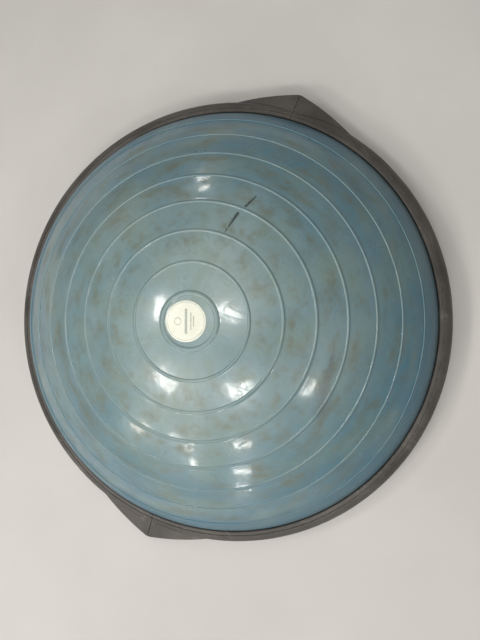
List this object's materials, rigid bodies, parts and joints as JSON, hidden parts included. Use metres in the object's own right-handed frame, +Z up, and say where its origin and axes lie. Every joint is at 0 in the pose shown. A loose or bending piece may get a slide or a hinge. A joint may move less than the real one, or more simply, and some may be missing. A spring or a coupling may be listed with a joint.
{
  "type": "balance dome trainer",
  "caption": "Inflated half dome with raised rings, clamped by a split ring to a round moulded platform with two carrying handles.",
  "frame": {"origin": "on the floor under the centre of the platform", "axes": "+Z up through the crown; the two carrying handles on +X and -X; the air valve on the +Y side"},
  "size_m": [0.693, 0.65, 0.2154],
  "materials": {
    "platform_plastic": "black moulded plastic, fine texture",
    "ring_plastic": "black moulded plastic, dusty and worn along its edges",
    "dome_pvc": "grey blue soft PVC, satin, scuffed",
    "label_film": "off white printed film",
    "valve_pvc": "soft PVC",
    "plug_plastic": "dark moulded plastic",
    "screw_steel": "zinc plated steel",
    "foot_rubber": "black rubber",
    "badge_plastic": "grey plastic disc, blank"
  },
  "bodies": {
    "platform": {"base_platform": "platform_plastic", "retaining_ring_front": "ring_plastic", "retaining_ring_rear": "ring_plastic", "bladder_floor": "dome_pvc", "valve_stem": "valve_pvc", "underside_badge": "badge_plastic", "foot_screws": "screw_steel", "ring_screws": "screw_steel", "handle_screws": "screw_steel", "foot_1": "foot_rubber", "foot_2": "foot_rubber", "foot_3": "foot_rubber", "foot_4": "foot_rubber", "foot_5": "foot_rubber", "foot_6": "foot_rubber", "foot_7": "foot_rubber", "foot_8": "foot_rubber"},
    "crown": {"dome_skin": "dome_pvc", "crown_label": "label_film"},
    "plug": {"valve_plug": "plug_plastic"}
  },
  "joints": [
    {"name": "dome_press", "type": "slide", "parent": "platform", "child": "crown", "axis": [0, 0, 1], "range_m": [-0.04, 0], "stiffness_N_per_m": 14000, "springref_m": 0.008, "deforming": ["dome_skin"]},
    {"name": "plug_pull", "type": "slide", "parent": "platform", "child": "plug", "axis": [0, 0.8434, 0.5372], "range_m": [0, 0.03]}
  ]
}
